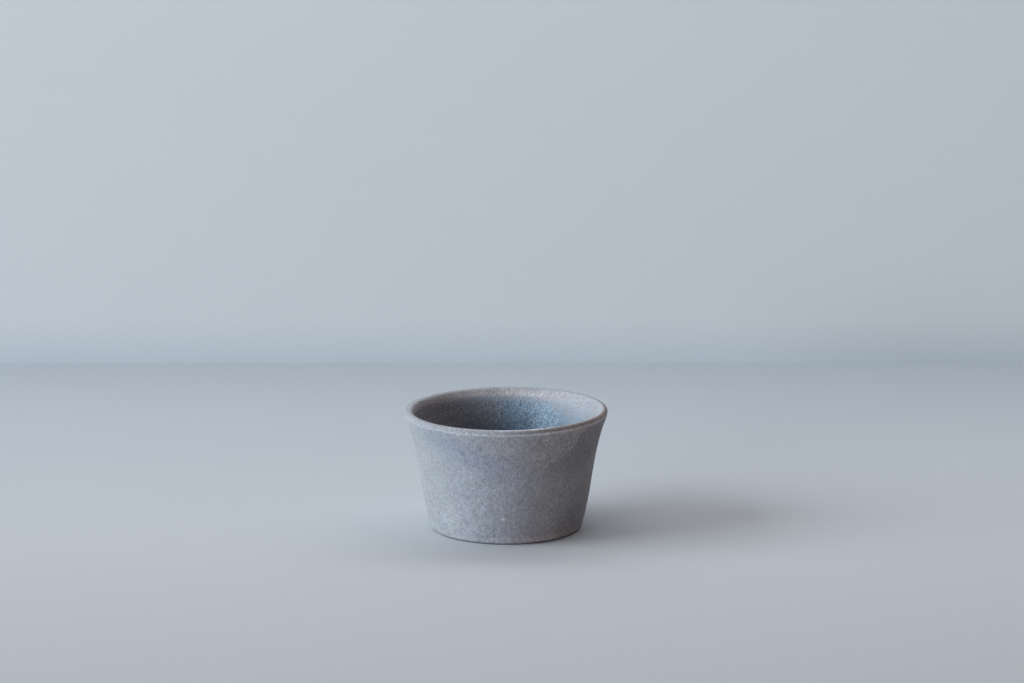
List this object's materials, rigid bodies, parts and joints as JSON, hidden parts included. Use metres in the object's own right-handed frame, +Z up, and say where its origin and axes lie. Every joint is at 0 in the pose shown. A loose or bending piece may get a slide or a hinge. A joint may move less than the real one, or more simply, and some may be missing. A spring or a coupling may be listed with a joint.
{
  "type": "guinomi sake cup",
  "caption": "Small flared stoneware cup for sake, with a thin rounded lip, a flat foot ring and matte glaze inside and out.",
  "frame": {"origin": "centre of the foot ring, on the plane that the cup stands on", "axes": "+Z up along the cup's axis, through the open mouth; -Y towards the front, where the edge of the second glaze dip shows; +X to the right seen from the front"},
  "size_m": [0.075, 0.075, 0.0446],
  "materials": {
    "stoneware": "bare fired stoneware, dark grey-brown, matte and fine-grained",
    "blue_liner": "satin-matte mottled blue glaze",
    "grey_coat": "matte mottled blue-grey glaze",
    "pale_lip": "thin matte glaze, pale grey with the clay showing through",
    "second_coat": "matte mottled blue-grey glaze, a little darker where two dips overlap"
  },
  "bodies": {
    "root": {"clay_body": "stoneware", "inside_glaze": "blue_liner", "outside_glaze": "grey_coat", "rim_glaze": "pale_lip", "second_dip_glaze": "second_coat"}
  },
  "joints": []
}
